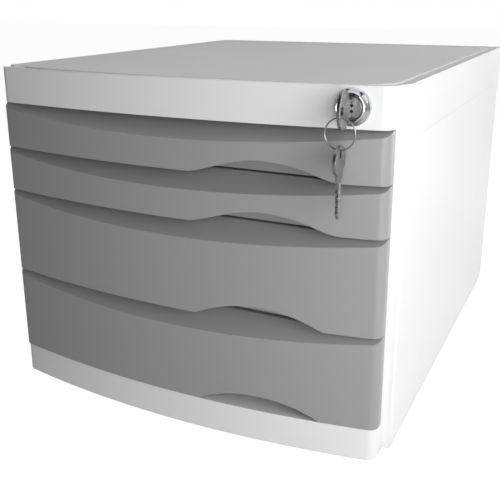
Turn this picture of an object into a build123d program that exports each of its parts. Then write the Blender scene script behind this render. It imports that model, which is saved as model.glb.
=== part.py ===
from build123d import *
import math
import os

# Desktop file drawer: a moulded casing with a bowed front, four drawers on moulded runners,
# and a cam lock that works a bar behind the right-hand post.
# Millimetres. +Z up, drawers open towards -Y. Z = 0 is the desk, X = 0 the middle of the casing.

# ---------------------------------------------------------------- driving dimensions
WIDTH = 300.0  # over the side panels
BACK_Y = 190.0  # rear face
SHOULDER_Y = -147.5  # front edge of the side panels
WALL = 2.5  # casing wall
GAP = 0.1  # assembly gap between casing mouldings
FOOT_HEIGHT = 1.5  # rubber showing under the base
TOP_Z = 240.8
CASE_CORNER_R = 2.0  # upright corners of the casing
CUT_LENGTH = 40.0  # length of a cut that runs out of the part
TUCK_HEIGHT = 10.0  # the side panels' lower edge tucks in over this height
TUCK_DEPTH = 1.4

FRAME_HALF = 144.0  # half width of the bowed front frame
BOW_HALF = 140.0  # the bow is measured at this half width
BOW_END_Y = -163.7  # front of plinth and header at BOW_HALF
HEADER_SAG = 9.7  # how far the header bows forward at its middle
FRONT_SAG = 13.1  # the same for drawers and plinth
FRONT_PROUD = 0.9  # drawers stand this far in front of the plinth
CORNER_R = 7.0  # plan radius at the ends of the bow

BORDER_LAND = 0.6  # flat edge round the top
BORDER_RUN = 8.4  # width of the dipping border
BORDER_DEPTH = 1.3
BORDER_CORNER = 4.0  # how far behind the bow's ends the border turns its corner
FIELD_DROP = 0.5  # flat field below the edge

PLINTH_TOP = 23.7
FIRST_FRONT_Z = 24.2  # lower edge of the lowest drawer front
DEEP_PITCH = 63.5
SHALLOW_PITCH = 32.35
FRONT_GAP = 0.7  # gap between one drawer front and the next
HEADER_BOTTOM = FIRST_FRONT_Z + 2 * DEEP_PITCH + 2 * SHALLOW_PITCH
SKIRT_BOTTOM = 208.0  # lower edge of the top cover on the sides and back
LIP_ROOT_Z = 200.0  # the panels' inner lip starts here and stands inside the skirt
LIP_TOP = 214.0
LIP_THICK = 2.4
LIP_GAP = 0.2
LIP_END = 8.0  # lip's distance from the panel's ends

# drawers: number, lower edge of the front, pitch (1 is the top drawer)
DRAWERS = [
    (1, FIRST_FRONT_Z + 2 * DEEP_PITCH + SHALLOW_PITCH, SHALLOW_PITCH),
    (2, FIRST_FRONT_Z + 2 * DEEP_PITCH, SHALLOW_PITCH),
    (3, FIRST_FRONT_Z + DEEP_PITCH, DEEP_PITCH),
    (4, FIRST_FRONT_Z, DEEP_PITCH),
]
TRAVEL = 250.0

# drawer front
FRONT_HALF = 144.2
FRONT_CORNER_R = 6.5
FRONT_REAR_Y = -154.2
FRONT_WALL = 2.5
SCREW_SPREAD_X = 100.0  # tray screws from the middle
SCREW_SPREAD_Z = 14.0  # and from the tray's half height on a deep drawer
FACET_TOP_Y = -159.2  # where the sloping top facet ends
FACET_SLOPE = 0.63  # rise over run of that facet
ARCH_HEIGHT = 10.4
WAVE_LEFT, WAVE_PEAK, WAVE_RIGHT = 20.0, 66.0, 118.0  # shallow drawers: a wave that runs out to the right
ROUND_LEFT, ROUND_PEAK, ROUND_RIGHT = 22.0, 65.0, 108.0  # deep drawers: a round arch with crisp feet

# tray
TRAY_HALF = 131.5
TRAY_WALL = 2.0
TRAY_OUTER_R, TRAY_INNER_R = 5.0, 3.0
FLANGE_START = 8.0  # behind the tray's front
TRAY_FRONT_Y = FRONT_REAR_Y + 0.3
TRAY_REAR_Y = 173.0
TRAY_RISE = 3.0  # tray floor above the front's lower edge
TRAY_TOP_DROP = 5.0  # tray rim below the top of the pitch
FLANGE_WIDTH = 5.5
FLANGE_THICK = 1.8
EAR_WIDTH = 2.5  # stop ear beyond the flange
EAR_LENGTH = 8.0
TAB_LENGTH = 6.0  # lock tab that the bar's hook blocks
TAB_Y = -137.5
TAB_RISE = 13.5  # middle of the tab above the front's lower edge
TAB_HALF_THICK, TAB_HALF_HEIGHT = 2.0, 2.5

# front posts and runners
POST_INNER = 138.0
POST_FRONT_Y = -153.8
RUNNER_FRONT_Y = -132.0
RUNNER_REAR_Y = 180.0
RUN_CLEARANCE = 0.3
RUNNER_THICK = 2.0
RUNNER_SIDE_GAP = 0.6  # beside the tray and its flange
KEEPER_REACH = 3.0  # keeper's distance from the tray wall
KEEPER_THICK = 1.5

# lock
LOCK_X = 121.5
LOCK_Z = 228.5
BEZEL_R = 11.0
BEZEL_FRONT_Y = -170.6
BEZEL_SEAT_Y = -164.5
BARREL_R = 8.4
BARREL_REAR_Y = -141.0
BOSS_REAR_Y = -158.5
LOCK_BOSS_R = 12.2
BEZEL_SEAT_GAP = 0.15
BARREL_GAP = 0.1
BEZEL_SLOPE_RUN, BEZEL_SLOPE_DROP = 2.4, 2.9
NUT_APOTHEM = 9.6
NUT_THICK = 3.5
PLUG_R = 7.0
PLUG_FIT = 0.06  # radial running clearance
PLUG_FACE_Y = -170.1
CAM_RADIUS = 8.0  # pin's distance from the lock axis
CAM_PIN_R = 1.5
CAM_START = -45.0  # pin's angle at rest, unlocked
CAM_SWING = 90.0
BAR_LIFT = 2 * CAM_RADIUS * math.sin(math.radians(CAM_SWING / 2))

# lock bar
BAR_X = 139.4
BAR_THICK = 2.0
BAR_FRONT_Y = -149.5
BAR_REAR_Y = -141.2
BAR_ARM_Y = -136.4  # middle of the slotted arm
BAR_ARM_HALF = 3.8
HOOK_FRONT_Y, HOOK_REAR_Y = TAB_Y - 7.0, TAB_Y - 2.6
HOOK_LOW, HOOK_HIGH = 0.5, 4.5  # above the front's lower edge, unlocked
HOOK_INNER_X = TRAY_HALF + 2.5
GUIDE_INNER_X = 137.4
GUIDE_GAP = 0.35  # round the bar

# key
KEY_THICK = 1.8
KEY_BLADE = 6.0
KEY_BLADE_LENGTH = 24.0
KEY_BOW = 23.0  # across the bow
KEY_BOW_LENGTH = 19.5  # plug face to the bow's outer end
KEY_SEAT_Y = PLUG_FACE_Y - 0.4
KEY_HOLE_R = 2.6
KEY_HOLE_Y = -185.6
KEY_HOLE_DROP = 1.3  # hole centre below the lock axis
KEY_SLOT_GAP = 0.1
KEY_NECK_LENGTH = 2.5
KEY_NECK_WIDTH = 10.0
KEY_OVERLAP = 1.0  # blade's root inside the neck


# ---------------------------------------------------------------- shared outlines
def bow_face(half, sag, end_y, rear_y, corner_r, inset=0.0):
    """Plan of the bowed front: an arc in front, rounded ends, straight sides and back."""
    side = half - inset
    grow = (side / BOW_HALF) ** 2
    side_y = end_y + inset - sag * (1.0 - grow)
    middle_y = end_y + inset - sag
    with BuildLine(mode=Mode.PRIVATE) as outline:
        ThreePointArc((-side, side_y), (0, middle_y), (side, side_y))
        Polyline((side, side_y), (side, rear_y), (-side, rear_y), (-side, side_y))
    plan = make_face(outline.edges())
    front_corners = plan.vertices().sort_by(Axis.Y)[:2]
    fillet(front_corners, max(corner_r - inset, 1.0))


def border_face(inset, corner_inset):
    """One level of the border round the top: bowed in front, square elsewhere."""
    side_x = CASE_HALF - inset
    side_y = BOW_END_Y + BORDER_CORNER + corner_inset
    middle_y = BOW_END_Y - HEADER_SAG + inset
    rear_y = BACK_Y - inset
    with BuildLine(mode=Mode.PRIVATE) as outline:
        ThreePointArc((-side_x, side_y), (0, middle_y), (side_x, side_y))
        Polyline((side_x, side_y), (side_x, rear_y), (-side_x, rear_y), (-side_x, side_y))
    make_face(outline.edges())


def block(x0, x1, y0, y1, z0, z1, mode=Mode.ADD):
    """A plain block between two corners, for ribs, tabs and cut-outs."""
    with Locations(((x0 + x1) / 2, (y0 + y1) / 2, (z0 + z1) / 2)):
        Box(abs(x1 - x0), abs(y1 - y0), abs(z1 - z0), mode=mode)


def save(part, label):
    part.label = label
    export_step(part, f"parts/{label}.step")


# ---------------------------------------------------------------- derived places
CASE_HALF = WIDTH / 2
INNER_HALF = CASE_HALF - WALL
PANEL_BOTTOM = 2.0
BASE_PLATE_TOP = FOOT_HEIGHT + WALL
SCREW_X = 144.0
BASE_SCREW_YS = (-100.0, 150.0)
BACK_SCREW_ZS = (60.0, 170.0)
SCREW_HOLE_R = 1.6
PILOT_R = 1.3
SCREW_R = 1.25
HEAD_R = 3.0
SINK_R = 3.3
SINK_DEPTH = 1.2
BOSS_R = 3.7
BOSS_LENGTH = 12.0
HEAD_THICK = 1.1
CASING_SCREW_LENGTH = 11.0
TRAY_SCREW_LENGTH = 5.4
PILOT_DEPTH = 2.6
RIB_HALF = 1.0
EAR_FRONT_Y = TRAY_REAR_Y - EAR_LENGTH
STOP_REAR_Y = EAR_FRONT_Y - TRAVEL - RUN_CLEARANCE
STOP_LENGTH = 6.0
STOP_FRONT_Y = STOP_REAR_Y - STOP_LENGTH
DEPTH_MIDDLE = (SHOULDER_Y + BACK_Y) / 2
DEPTH_LENGTH = BACK_Y - SHOULDER_Y
FOOT_PLACES = [(-120, -120), (120, -120), (-120, 160), (120, 160)]
FOOT_R = 7.0
FOOT_SEAT = 1.0  # depth of the recess above the base's underside
BACK_RIB_XS = (-70.0, 70.0)
BASE_RIB_XS = (-90.0, 0.0, 90.0)

os.makedirs("parts", exist_ok=True)


# ---------------------------------------------------------------- top cover with bowed header
with BuildPart() as lock_boss:
    with BuildSketch(Plane.XZ.offset(-BOSS_REAR_Y)):
        with Locations((LOCK_X, LOCK_Z)):
            Circle(LOCK_BOSS_R)
    extrude(amount=CUT_LENGTH)
    with BuildSketch(Plane.XY.offset(HEADER_BOTTOM)):
        bow_face(FRAME_HALF, HEADER_SAG, BOW_END_Y, SHOULDER_Y, CORNER_R, inset=0.5)
    extrude(amount=TOP_Z - HEADER_BOTTOM, mode=Mode.INTERSECT)

with BuildPart() as top_cover:
    with BuildSketch(Plane.XY.offset(HEADER_BOTTOM)):
        bow_face(FRAME_HALF, HEADER_SAG, BOW_END_Y, SHOULDER_Y + WALL, CORNER_R)
    extrude(amount=TOP_Z - HEADER_BOTTOM)
    with BuildSketch(Plane.XY.offset(SKIRT_BOTTOM)):
        with Locations((0, DEPTH_MIDDLE)):
            Rectangle(WIDTH, DEPTH_LENGTH)
    extrude(amount=TOP_Z - SKIRT_BOTTOM)
    case_corners = top_cover.edges().filter_by(Axis.Z).filter_by(
        lambda e: abs(abs(e.center().X) - CASE_HALF) < 0.01
    )
    fillet(case_corners, CASE_CORNER_R)
    # the hollow underneath
    block(-INNER_HALF, INNER_HALF, SHOULDER_Y + WALL, BACK_Y - WALL,
          SKIRT_BOTTOM, TOP_Z - WALL, mode=Mode.SUBTRACT)
    with BuildSketch(Plane.XY.offset(HEADER_BOTTOM)):
        bow_face(FRAME_HALF, HEADER_SAG, BOW_END_Y, SHOULDER_Y + 2 * WALL, CORNER_R, inset=WALL)
    extrude(amount=TOP_Z - WALL - HEADER_BOTTOM, mode=Mode.SUBTRACT)
    block(-FRAME_HALF, FRAME_HALF, SHOULDER_Y - 1, SHOULDER_Y + 2 * WALL,
          SKIRT_BOTTOM - 1, HEADER_BOTTOM, mode=Mode.SUBTRACT)
    # shallow border: the top dips inwards from a crisp edge, then steps up to a flat field
    with BuildSketch(Plane.XY.offset(TOP_Z)):
        border_face(BORDER_LAND, BORDER_LAND)
    with BuildSketch(Plane.XY.offset(TOP_Z - BORDER_DEPTH)):
        border_face(BORDER_LAND + BORDER_RUN, BORDER_LAND + BORDER_RUN)
    loft(ruled=True, mode=Mode.SUBTRACT)
    with BuildSketch(Plane.XY.offset(TOP_Z - WALL + 0.2)):
        border_face(BORDER_LAND + BORDER_RUN + 0.8, BORDER_LAND + BORDER_RUN + 0.8)
    extrude(amount=WALL - 0.2 - FIELD_DROP)
    # seat for the lock
    add(lock_boss.part)
    with BuildSketch(Plane.XZ.offset(-BEZEL_SEAT_Y)):
        with Locations((LOCK_X, LOCK_Z)):
            Circle(BEZEL_R + BEZEL_SEAT_GAP)
    extrude(amount=CUT_LENGTH, mode=Mode.SUBTRACT)
    with BuildSketch(Plane.XZ.offset(-BOSS_REAR_Y - 5)):
        with Locations((LOCK_X, LOCK_Z)):
            Circle(BARREL_R + BARREL_GAP)
    extrude(amount=CUT_LENGTH, mode=Mode.SUBTRACT)
save(top_cover.part, "top_cover")


# ---------------------------------------------------------------- side panels with moulded runners
def runner_z(front_z, pitch):
    """Top of the shelf that carries a tray's flange."""
    flange_bottom = front_z + pitch - TRAY_TOP_DROP - FLANGE_THICK
    return flange_bottom - RUN_CLEARANCE


with BuildPart() as right_side_panel:
    block(INNER_HALF, CASE_HALF, SHOULDER_Y, BACK_Y, PANEL_BOTTOM, SKIRT_BOTTOM - GAP)
    # shoulder and front post
    block(FRAME_HALF - 0.05, CASE_HALF, SHOULDER_Y, SHOULDER_Y + WALL, PANEL_BOTTOM, SKIRT_BOTTOM - GAP)
    outer_corners = right_side_panel.edges().filter_by(Axis.Z).filter_by(
        lambda e: abs(e.center().X - CASE_HALF) < 0.01
    )
    fillet(outer_corners, CASE_CORNER_R)
    block(FRAME_HALF - WALL, FRAME_HALF, POST_FRONT_Y, SHOULDER_Y + WALL,
          PLINTH_TOP + GAP, HEADER_BOTTOM - GAP)
    block(POST_INNER, FRAME_HALF, POST_FRONT_Y, POST_FRONT_Y + WALL,
          PLINTH_TOP + GAP, HEADER_BOTTOM - GAP)
    # the lower edge tucks in
    tuck_edge = right_side_panel.edges().filter_by(Axis.Y).filter_by(
        lambda e: abs(e.center().X - CASE_HALF) < 0.01 and e.center().Z < PANEL_BOTTOM + 0.1
    )
    chamfer(tuck_edge, TUCK_HEIGHT, TUCK_DEPTH, reference=right_side_panel.faces().sort_by(Axis.X)[-1])
    # lip inside the top cover's skirt
    block(INNER_HALF - LIP_THICK, INNER_HALF, SHOULDER_Y + LIP_END, BACK_Y - LIP_END,
          LIP_ROOT_Z, SKIRT_BOTTOM - GAP)
    block(INNER_HALF - LIP_THICK, INNER_HALF - LIP_GAP, SHOULDER_Y + LIP_END, BACK_Y - LIP_END,
          LIP_ROOT_Z, LIP_TOP)
    # runners: a shelf under each tray flange, a keeper over it and a stop
    for number, front_z, pitch in DRAWERS:
        shelf_top = runner_z(front_z, pitch)
        keeper_bottom = shelf_top + 2 * RUN_CLEARANCE + FLANGE_THICK
        # the top drawer's runners grow from the lip, inside the cover's skirt
        root_x = INNER_HALF - LIP_GAP if keeper_bottom > SKIRT_BOTTOM else INNER_HALF + 0.1
        block(TRAY_HALF + RUNNER_SIDE_GAP, root_x, RUNNER_FRONT_Y, RUNNER_REAR_Y,
              shelf_top - RUNNER_THICK, shelf_top)
        block(TRAY_HALF + KEEPER_REACH, root_x, RUNNER_FRONT_Y, RUNNER_REAR_Y,
              keeper_bottom, keeper_bottom + KEEPER_THICK)
        block(TRAY_HALF + FLANGE_WIDTH + RUNNER_SIDE_GAP, root_x, STOP_FRONT_Y, STOP_REAR_Y,
              shelf_top - 0.5, keeper_bottom + 0.5)
    # screw bosses
    for y in BASE_SCREW_YS:
        with Locations((SCREW_X, y, BASE_PLATE_TOP + GAP + BOSS_LENGTH / 2)):
            Cylinder(BOSS_R, BOSS_LENGTH)
            Cylinder(PILOT_R, BOSS_LENGTH, mode=Mode.SUBTRACT)
    for z in BACK_SCREW_ZS:
        with Locations(Location((SCREW_X, BACK_Y - WALL - GAP - BOSS_LENGTH / 2, z), (90, 0, 0))):
            Cylinder(BOSS_R, BOSS_LENGTH)
            Cylinder(PILOT_R, BOSS_LENGTH, mode=Mode.SUBTRACT)
save(right_side_panel.part, "right_side_panel")

with BuildPart() as left_side_panel:
    add(mirror(right_side_panel.part, about=Plane.YZ, mode=Mode.PRIVATE))
save(left_side_panel.part, "left_side_panel")


# ---------------------------------------------------------------- back panel
with BuildPart() as back_panel:
    block(-INNER_HALF + GAP, INNER_HALF - GAP, BACK_Y - WALL, BACK_Y,
          BASE_PLATE_TOP + GAP, SKIRT_BOTTOM - GAP)
    # two stiffening ribs on the inside
    for x in BACK_RIB_XS:
        block(x - RIB_HALF, x + RIB_HALF, BACK_Y - WALL - 4, BACK_Y - WALL + 0.1, 20.0, 195.0)
    with Locations(*[Location((x, BACK_Y, z), (-90, 0, 0))
                     for x in (-SCREW_X, SCREW_X) for z in BACK_SCREW_ZS]):
        CounterBoreHole(SCREW_HOLE_R, SINK_R, SINK_DEPTH, depth=WALL)
save(back_panel.part, "back_panel")


# ---------------------------------------------------------------- base with bowed plinth
with BuildPart() as base_plinth:
    with BuildSketch(Plane.XY.offset(FOOT_HEIGHT)):
        bow_face(FRAME_HALF - GAP, FRONT_SAG, BOW_END_Y, SHOULDER_Y + WALL, CORNER_R)
    extrude(amount=PLINTH_TOP - FOOT_HEIGHT)
    with BuildSketch(Plane.XY.offset(FOOT_HEIGHT)):
        bow_face(FRAME_HALF - GAP, FRONT_SAG, BOW_END_Y, SHOULDER_Y, CORNER_R, inset=WALL)
    extrude(amount=PLINTH_TOP - FOOT_HEIGHT - WALL, mode=Mode.SUBTRACT)
    block(-INNER_HALF + GAP, INNER_HALF - GAP, SHOULDER_Y + WALL + GAP, BACK_Y,
          FOOT_HEIGHT, BASE_PLATE_TOP)
    block(-FRAME_HALF + 2, FRAME_HALF - 2, SHOULDER_Y + 0.2, SHOULDER_Y + WALL + 1,
          FOOT_HEIGHT, BASE_PLATE_TOP)
    # long ribs that stiffen the plate
    for x in BASE_RIB_XS:
        block(x - RIB_HALF, x + RIB_HALF, SHOULDER_Y + 2, BACK_Y - 10,
              BASE_PLATE_TOP - 0.5, BASE_PLATE_TOP + 8)
    with Locations(*[Location((x, y, FOOT_HEIGHT), (180, 0, 0))
                     for x in (-SCREW_X, SCREW_X) for y in BASE_SCREW_YS]):
        CounterBoreHole(SCREW_HOLE_R, SINK_R, SINK_DEPTH, depth=WALL)
    with Locations(*[(x, y, FOOT_HEIGHT + FOOT_SEAT / 2) for x, y in FOOT_PLACES]):
        Cylinder(FOOT_R + GAP, FOOT_SEAT, mode=Mode.SUBTRACT)
save(base_plinth.part, "base_plinth")

with BuildPart() as rubber_feet:
    foot_thick = FOOT_HEIGHT + FOOT_SEAT - GAP
    with Locations(*[(x, y, foot_thick / 2) for x, y in FOOT_PLACES]):
        Cylinder(FOOT_R, foot_thick)
    lower_rims = rubber_feet.edges().filter_by(GeomType.CIRCLE).group_by(Axis.Z)[0]
    chamfer(lower_rims, 0.4)
save(rubber_feet.part, "rubber_feet")

with BuildPart() as casing_screws:
    # up through the base
    for x in (-SCREW_X, SCREW_X):
        for y in BASE_SCREW_YS:
            with Locations((x, y, FOOT_HEIGHT + 0.1)):
                Cylinder(HEAD_R, HEAD_THICK, align=(Align.CENTER, Align.CENTER, Align.MIN))
                Cylinder(SCREW_R, CASING_SCREW_LENGTH, align=(Align.CENTER, Align.CENTER, Align.MIN))
    # forwards through the back panel
    for x in (-SCREW_X, SCREW_X):
        for z in BACK_SCREW_ZS:
            with Locations(Location((x, BACK_Y - 0.1, z), (90, 0, 0))):
                Cylinder(HEAD_R, HEAD_THICK, align=(Align.CENTER, Align.CENTER, Align.MIN))
                Cylinder(SCREW_R, CASING_SCREW_LENGTH, align=(Align.CENTER, Align.CENTER, Align.MIN))
save(casing_screws.part, "casing_screws")


# ---------------------------------------------------------------- drawers
def above_facet(front_top, drop):
    """Everything above the sloping top facet, to be cut away."""
    high = front_top + 6.0
    front_y = FACET_TOP_Y - CUT_LENGTH
    low = front_top - drop
    with BuildPart() as wedge:
        with BuildSketch(Plane.YZ.offset(-CASE_HALF)):
            with BuildLine():
                Polyline((FACET_TOP_Y, low), (FACET_TOP_Y, high), (front_y, high),
                         (front_y, low - CUT_LENGTH * FACET_SLOPE), (FACET_TOP_Y, low))
            make_face()
        extrude(amount=WIDTH)
    return wedge.part


def front_cavity(front_z, front_top):
    """The hollow inside a drawer front, open at the bottom."""
    slant = math.hypot(1.0, FACET_SLOPE)
    with BuildPart() as cavity:
        with BuildSketch(Plane.XY.offset(front_z - 1)):
            bow_face(FRONT_HALF, FRONT_SAG, BOW_END_Y - FRONT_PROUD,
                     FRONT_REAR_Y - FRONT_WALL, FRONT_CORNER_R, inset=FRONT_WALL)
        extrude(amount=front_top - FRONT_WALL - front_z + 1)
        add(above_facet(front_top, FRONT_WALL * slant), mode=Mode.SUBTRACT)
    return cavity.part


def make_front(number, front_z, pitch):
    front_top = front_z + pitch - FRONT_GAP
    cavity = front_cavity(front_z, front_top)
    with BuildPart() as drawer_front:
        with BuildSketch(Plane.XY.offset(front_z)):
            bow_face(FRONT_HALF, FRONT_SAG, BOW_END_Y - FRONT_PROUD, FRONT_REAR_Y, FRONT_CORNER_R)
        extrude(amount=front_top - front_z)
        add(above_facet(front_top, 0.0), mode=Mode.SUBTRACT)
        add(cavity, mode=Mode.SUBTRACT)
        # finger arch in the lower edge, cut through the skin only
        with BuildSketch(Plane.XZ.offset(-FACET_TOP_Y)):
            with BuildLine():
                if pitch < DEEP_PITCH:
                    left, right = WAVE_LEFT, WAVE_RIGHT
                    Spline((left, front_z), (41.0, front_z + 5.9), (WAVE_PEAK, front_z + ARCH_HEIGHT),
                           (94.0, front_z + 6.6), (right, front_z), tangents=((1, 0.25), (1, 0)))
                else:
                    left, right = ROUND_LEFT, ROUND_RIGHT
                    ThreePointArc((left, front_z), (ROUND_PEAK, front_z + ARCH_HEIGHT), (right, front_z))
                Polyline((right, front_z), (right, front_z - 2), (left, front_z - 2), (left, front_z))
            make_face()
        extrude(amount=CUT_LENGTH, mode=Mode.SUBTRACT)
        # pilot holes for the screws that hold the tray
        for x, z in screw_places(front_z, pitch):
            with Locations(Location((x, FRONT_REAR_Y - PILOT_DEPTH / 2 + 0.1, z), (90, 0, 0))):
                Cylinder(PILOT_R, PILOT_DEPTH, mode=Mode.SUBTRACT)
    save(drawer_front.part, f"drawer_{number}_front")


def screw_places(front_z, pitch):
    """Two screws on a shallow drawer, four on a deep one."""
    tray_mid = front_z + (pitch - TRAY_TOP_DROP + TRAY_RISE) / 2
    if pitch < DEEP_PITCH:
        return [(x, tray_mid) for x in (-SCREW_SPREAD_X, SCREW_SPREAD_X)]
    return [(x, tray_mid + dz) for x in (-SCREW_SPREAD_X, SCREW_SPREAD_X)
            for dz in (-SCREW_SPREAD_Z, SCREW_SPREAD_Z)]


def make_tray(number, front_z, pitch):
    floor_z = front_z + TRAY_RISE
    rim_z = front_z + pitch - TRAY_TOP_DROP
    with BuildPart() as tray:
        with BuildSketch(Plane.XY.offset(floor_z)):
            with Locations((0, (TRAY_FRONT_Y + TRAY_REAR_Y) / 2)):
                RectangleRounded(2 * TRAY_HALF, TRAY_REAR_Y - TRAY_FRONT_Y, TRAY_OUTER_R)
        extrude(amount=rim_z - floor_z)
        with BuildSketch(Plane.XY.offset(floor_z + TRAY_WALL)):
            with Locations((0, (TRAY_FRONT_Y + TRAY_REAR_Y) / 2)):
                RectangleRounded(2 * (TRAY_HALF - TRAY_WALL),
                                 TRAY_REAR_Y - TRAY_FRONT_Y - 2 * TRAY_WALL, TRAY_INNER_R)
        extrude(amount=rim_z - floor_z, mode=Mode.SUBTRACT)
        for side in (-1, 1):
            inner, outer = side * (TRAY_HALF - 0.5), side * (TRAY_HALF + FLANGE_WIDTH)
            block(inner, outer, TRAY_FRONT_Y + FLANGE_START, TRAY_REAR_Y - 1, rim_z - FLANGE_THICK, rim_z)
            block(inner, side * (TRAY_HALF + FLANGE_WIDTH + EAR_WIDTH), EAR_FRONT_Y, TRAY_REAR_Y - 1,
                  rim_z - FLANGE_THICK, rim_z)
        # tab behind the lock bar's hook
        block(TRAY_HALF - 0.5, TRAY_HALF + TAB_LENGTH, TAB_Y - TAB_HALF_THICK, TAB_Y + TAB_HALF_THICK,
              front_z + TAB_RISE - TAB_HALF_HEIGHT, front_z + TAB_RISE + TAB_HALF_HEIGHT)
        for x, z in screw_places(front_z, pitch):
            with Locations(Location((x, TRAY_FRONT_Y + 1, z), (90, 0, 0))):
                Cylinder(SCREW_HOLE_R, 4, mode=Mode.SUBTRACT)
    save(tray.part, f"drawer_{number}_tray")


def make_tray_screws(number, front_z, pitch):
    with BuildPart() as screws:
        for x, z in screw_places(front_z, pitch):
            with Locations(Location((x, TRAY_FRONT_Y + TRAY_WALL + 1.2, z), (90, 0, 0))):
                Cylinder(HEAD_R, HEAD_THICK, align=(Align.CENTER, Align.CENTER, Align.MIN))
                Cylinder(SCREW_R, TRAY_SCREW_LENGTH, align=(Align.CENTER, Align.CENTER, Align.MIN))
    save(screws.part, f"drawer_{number}_screws")


for number, front_z, pitch in DRAWERS:
    make_front(number, front_z, pitch)
    make_tray(number, front_z, pitch)
    make_tray_screws(number, front_z, pitch)


# ---------------------------------------------------------------- lock
def lock_plane(y):
    """A plane square to the lock axis at depth y, its normal towards the user."""
    return Plane(origin=(LOCK_X, y, LOCK_Z), x_dir=(1, 0, 0), z_dir=(0, -1, 0))


with BuildPart() as lock_housing:
    with BuildSketch(lock_plane(BARREL_REAR_Y)):
        Circle(BARREL_R)
    extrude(amount=BARREL_REAR_Y - BEZEL_SEAT_Y)
    with BuildSketch(lock_plane(BEZEL_SEAT_Y)):
        Circle(BEZEL_R)
    extrude(amount=BEZEL_SEAT_Y - BEZEL_FRONT_Y)
    bezel_rim = lock_housing.edges().filter_by(GeomType.CIRCLE).sort_by(Axis.Y)[0]
    chamfer(bezel_rim, BEZEL_SLOPE_RUN, BEZEL_SLOPE_DROP, reference=lock_housing.faces().sort_by(Axis.Y)[0])
    with BuildSketch(lock_plane(BARREL_REAR_Y + 1)):
        Circle(PLUG_R + PLUG_FIT)
    extrude(amount=CUT_LENGTH, mode=Mode.SUBTRACT)
save(lock_housing.part, "lock_housing")

with BuildPart() as lock_nut:
    with BuildSketch(lock_plane(BOSS_REAR_Y + GAP + NUT_THICK)):
        RegularPolygon(NUT_APOTHEM, 6, major_radius=False)
        Circle(BARREL_R + 0.05, mode=Mode.SUBTRACT)
    extrude(amount=NUT_THICK)
save(lock_nut.part, "lock_nut")

TAIL_R = 4.0
TAIL_END_Y = -139.0
CAM_FRONT_Y = -140.8
CAM_THICK = 1.6
CAM_ARM_WIDTH = 7.0
CAM_EYE_R = 6.2
PIN_LENGTH = 5.4
CAM_SCREW_R = 1.5
CAM_SCREW_HEAD_R = 4.6
CAM_SCREW_HEAD = 1.2
CAM_SCREW_LENGTH = 6.0
KEYWAY_END_Y = KEY_SEAT_Y + KEY_BLADE_LENGTH + 0.3

with BuildPart() as lock_plug:
    with BuildSketch(lock_plane(BARREL_REAR_Y)):
        Circle(PLUG_R)
    extrude(amount=BARREL_REAR_Y - PLUG_FACE_Y)
    with BuildSketch(lock_plane(TAIL_END_Y)):
        Circle(TAIL_R)
    extrude(amount=TAIL_END_Y - BARREL_REAR_Y)
    # keyway
    block(LOCK_X - KEY_THICK / 2 - KEY_SLOT_GAP, LOCK_X + KEY_THICK / 2 + KEY_SLOT_GAP,
          PLUG_FACE_Y - 1, KEYWAY_END_Y,
          LOCK_Z - KEY_BLADE / 2 - KEY_SLOT_GAP, LOCK_Z + KEY_BLADE / 2 + KEY_SLOT_GAP,
          mode=Mode.SUBTRACT)
    # hole for the cam screw
    with BuildSketch(lock_plane(TAIL_END_Y + 1)):
        Circle(CAM_SCREW_R + 0.05)
    extrude(amount=CAM_SCREW_LENGTH, mode=Mode.SUBTRACT)
save(lock_plug.part, "lock_plug")

pin_x = CAM_RADIUS * math.cos(math.radians(CAM_START))
pin_z = CAM_RADIUS * math.sin(math.radians(CAM_START))
with BuildPart() as lock_cam:
    with BuildSketch(lock_plane(CAM_FRONT_Y + CAM_THICK)):
        SlotCenterPoint((pin_x / 2, pin_z / 2), (pin_x, pin_z), CAM_ARM_WIDTH)
        Circle(CAM_EYE_R)
        Circle(TAIL_R + 0.05, mode=Mode.SUBTRACT)
    extrude(amount=CAM_THICK)
    with BuildSketch(lock_plane(CAM_FRONT_Y + PIN_LENGTH)):
        with Locations((pin_x, pin_z)):
            Circle(CAM_PIN_R)
    extrude(amount=PIN_LENGTH)
save(lock_cam.part, "lock_cam")

with BuildPart() as cam_screw:
    with BuildSketch(lock_plane(TAIL_END_Y + 1.3)):
        Circle(CAM_SCREW_HEAD_R)
    extrude(amount=CAM_SCREW_HEAD)
    with BuildSketch(lock_plane(TAIL_END_Y + 1.3)):
        Circle(CAM_SCREW_R)
    extrude(amount=CAM_SCREW_LENGTH)
save(cam_screw.part, "cam_screw")

# lock bar, drawn in its lowered, unlocked place
arm_z = LOCK_Z - BAR_LIFT / 2
SLOT_GAP = 0.45
with BuildPart() as lock_bar:
    leg_x0, leg_x1 = BAR_X - BAR_THICK / 2, BAR_X + BAR_THICK / 2
    block(leg_x0, leg_x1, BAR_FRONT_Y, BAR_REAR_Y, FIRST_FRONT_Z, arm_z + BAR_ARM_HALF)
    block(leg_x0, leg_x1, BAR_REAR_Y - 1, BAR_ARM_Y + 1, arm_z - BAR_ARM_HALF, arm_z + BAR_ARM_HALF)
    block(LOCK_X + 0.5, leg_x1, BAR_ARM_Y - 1, BAR_ARM_Y + 1,
          arm_z - BAR_ARM_HALF, arm_z + BAR_ARM_HALF)
    block(LOCK_X + pin_x - CAM_PIN_R - SLOT_GAP, LOCK_X + CAM_RADIUS + CAM_PIN_R + SLOT_GAP,
          BAR_ARM_Y - 2, BAR_ARM_Y + 2, arm_z - CAM_PIN_R - SLOT_GAP, arm_z + CAM_PIN_R + SLOT_GAP,
          mode=Mode.SUBTRACT)
    for number, front_z, pitch in DRAWERS:
        block(HOOK_INNER_X, BAR_X, HOOK_FRONT_Y, HOOK_REAR_Y, front_z + HOOK_LOW, front_z + HOOK_HIGH)
save(lock_bar.part, "lock_bar")

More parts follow.
